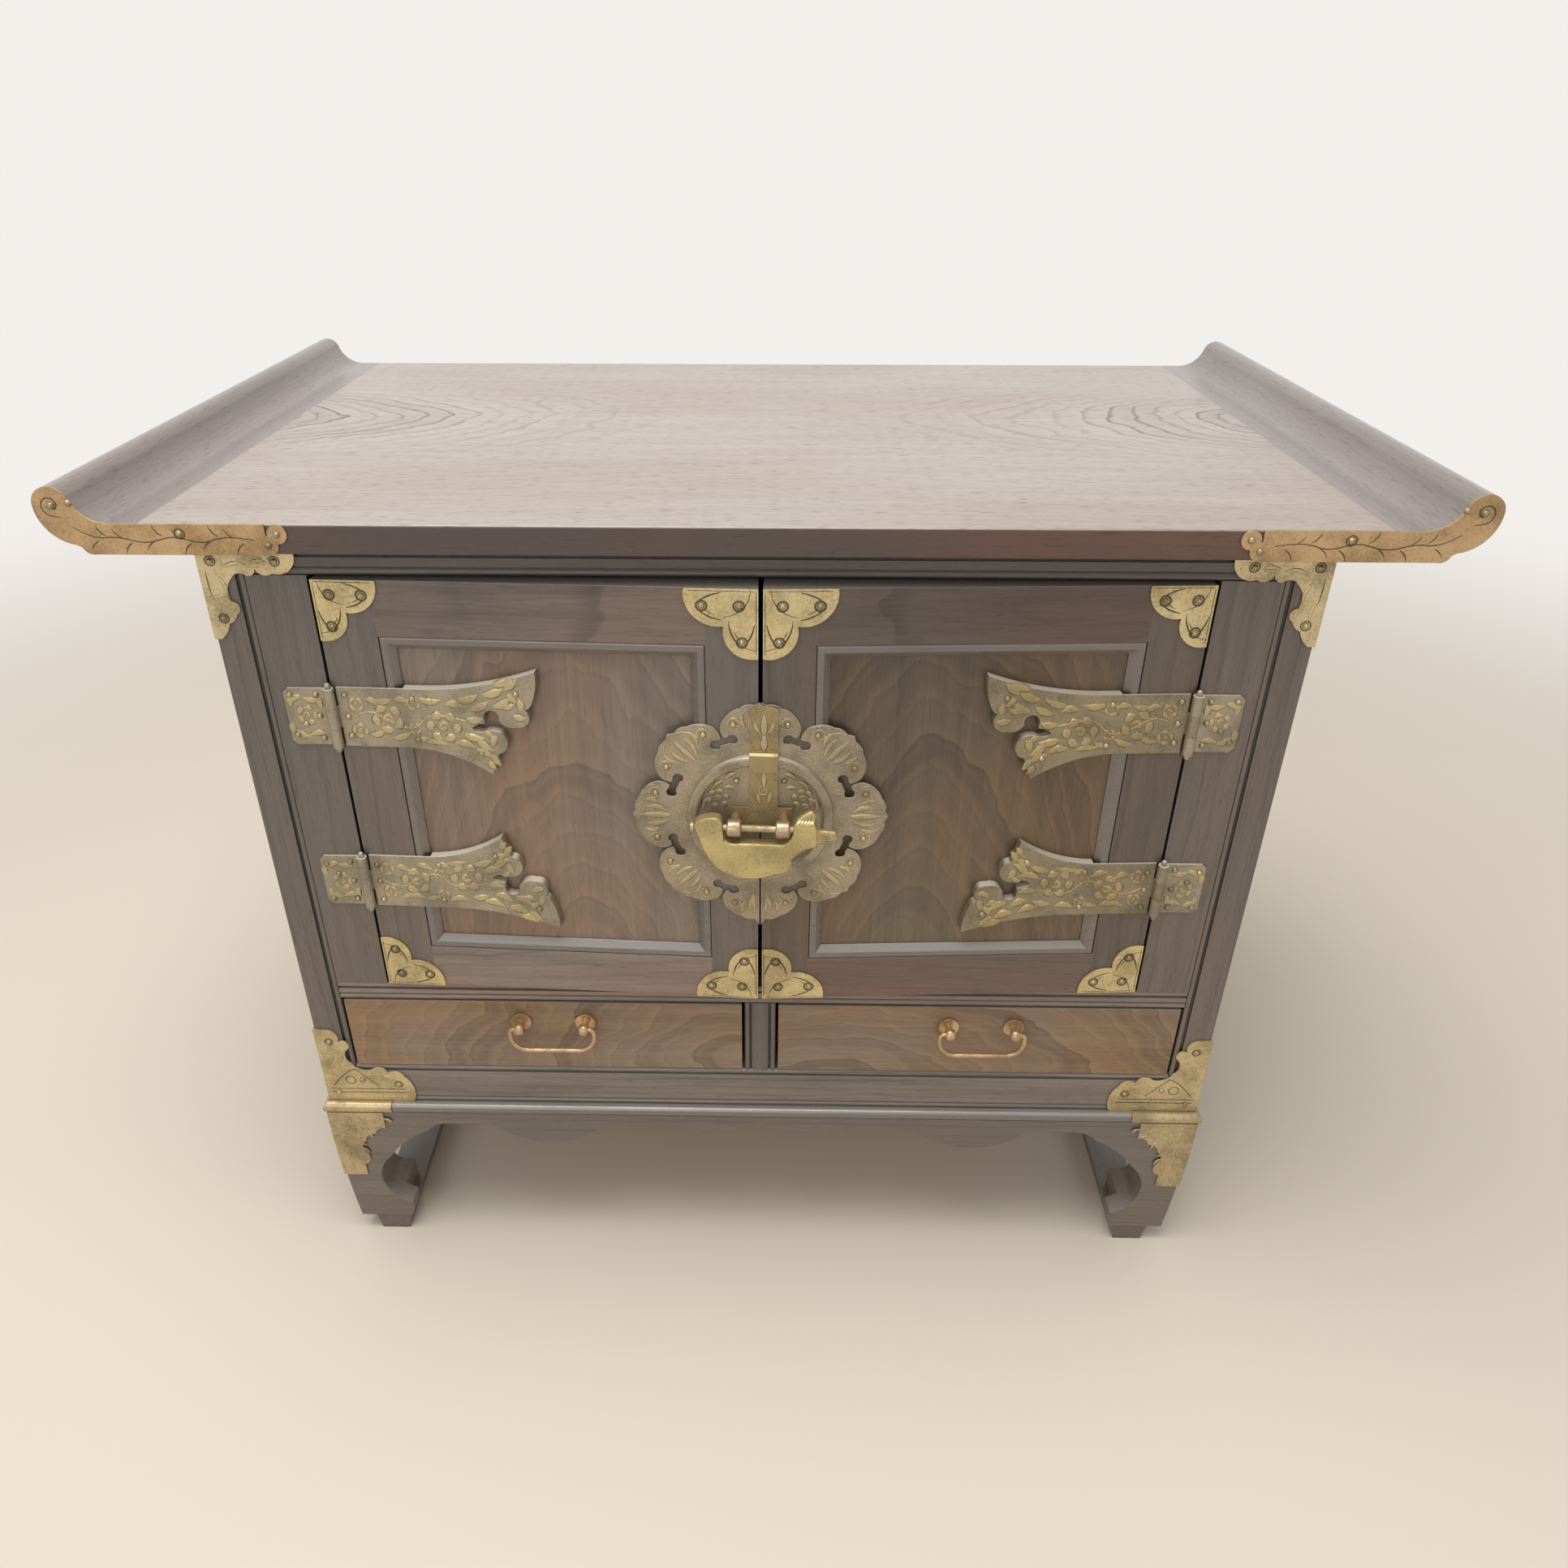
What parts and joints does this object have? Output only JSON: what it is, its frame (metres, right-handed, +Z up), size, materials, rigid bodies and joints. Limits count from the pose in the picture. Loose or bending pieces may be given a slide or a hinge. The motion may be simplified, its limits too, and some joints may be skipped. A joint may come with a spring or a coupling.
{
  "type": "korean two tier chest",
  "caption": "Low wooden chest on a footed stand: brass-mounted doors with a fish padlock over drawers, under a top with rolled scroll ends.",
  "frame": {"origin": "on the floor under the middle of the chest's outer box", "axes": "+X to the right along the width, -Y out of the front with the doors, +Z up"},
  "size_m": [0.8192, 0.4925, 0.62],
  "materials": {
    "frame_wood": "old oiled dark wood",
    "top_wood": "satin, faded",
    "panel_wood": "satin, figured",
    "drawer_wood": "satin, figured",
    "inner_wood": "bare",
    "bright_brass": "worn, cleaned",
    "aged_brass": "tarnished"
  },
  "bodies": {
    "case": {"back_panels": "frame_wood", "back_posts": "frame_wood", "back_rails": "frame_wood", "bottom_rail": "frame_wood", "case_bottom": "inner_wood", "case_corner_brass": "bright_brass", "case_nails": "aged_brass", "drawer_divider": "frame_wood", "drawer_guides": "inner_wood", "hinge_leaves": "aged_brass", "hinge_pins": "aged_brass", "jamb_boards": "frame_wood", "left_front_post": "frame_wood", "left_scroll_end": "top_wood", "middle_rail": "frame_wood", "right_front_post": "frame_wood", "right_scroll_end": "top_wood", "side_panels": "frame_wood", "side_rails": "frame_wood", "stand_back_apron": "frame_wood", "stand_back_legs": "frame_wood", "stand_corner_brass": "bright_brass", "stand_front_apron": "frame_wood", "stand_front_legs": "frame_wood", "stand_lip": "frame_wood", "stand_runners": "frame_wood", "stand_side_aprons": "frame_wood", "tier_floor": "inner_wood", "top_board": "top_wood", "top_end_brass": "bright_brass", "top_rail": "frame_wood"},
    "left_door": {"left_door_corner_brass": "bright_brass", "left_door_moulding": "frame_wood", "left_door_nails": "aged_brass", "left_door_panel": "panel_wood", "left_door_rails": "frame_wood", "left_door_stiles": "frame_wood", "left_hinge_straps": "aged_brass", "left_lock_plate": "aged_brass", "lock_lap_strip": "aged_brass", "lock_staples": "bright_brass"},
    "right_door": {"right_door_corner_brass": "bright_brass", "right_door_moulding": "frame_wood", "right_door_nails": "aged_brass", "right_door_panel": "panel_wood", "right_door_rails": "frame_wood", "right_door_stiles": "frame_wood", "right_hinge_straps": "aged_brass", "right_lock_plate": "aged_brass"},
    "padlock": {"padlock_body": "bright_brass"},
    "padlock_bolt": {"padlock_bolt": "bright_brass"},
    "left_drawer": {"left_drawer_box": "inner_wood", "left_drawer_front": "drawer_wood", "left_pull_posts": "bright_brass"},
    "right_drawer": {"right_drawer_box": "inner_wood", "right_drawer_front": "drawer_wood", "right_pull_posts": "bright_brass"},
    "left_bail": {"left_pull_bail": "bright_brass"},
    "right_bail": {"right_pull_bail": "bright_brass"}
  },
  "joints": [
    {"name": "left_door_hinge", "type": "hinge", "parent": "case", "child": "left_door", "pos_m": [-0.2676, -0.21458, 0.409], "axis": [0, 0, -1], "range_deg": [-2.6, 147]},
    {"name": "right_door_hinge", "type": "hinge", "parent": "case", "child": "right_door", "pos_m": [0.2676, -0.21458, 0.409], "axis": [0, 0, 1], "range_deg": [-2.6, 147]},
    {"name": "padlock_swing", "type": "hinge", "parent": "left_door", "child": "padlock", "pos_m": [-0.00088, -0.2401, 0.4091], "axis": [-0.999, 0.0454, 0], "range_deg": [0, 60]},
    {"name": "padlock_bolt_slide", "type": "slide", "parent": "padlock", "child": "padlock_bolt", "axis": [-0.999, 0.0454, 0], "range_m": [0, 0.048]},
    {"name": "left_drawer_slide", "type": "slide", "parent": "case", "child": "left_drawer", "axis": [0, -1, 0], "range_m": [0, 0.3]},
    {"name": "right_drawer_slide", "type": "slide", "parent": "case", "child": "right_drawer", "axis": [0, -1, 0], "range_m": [0, 0.3]},
    {"name": "left_bail_swing", "type": "hinge", "parent": "left_drawer", "child": "left_bail", "pos_m": [-0.1515, -0.21998, 0.222], "axis": [-1, 0, 0], "range_deg": [0, 120]},
    {"name": "right_bail_swing", "type": "hinge", "parent": "right_drawer", "child": "right_bail", "pos_m": [0.161, -0.21998, 0.222], "axis": [-1, 0, 0], "range_deg": [0, 120]}
  ],
  "couplings": [
    {"joint": "right_door_hinge", "follows": "left_door_hinge", "ratio": 1}
  ]
}
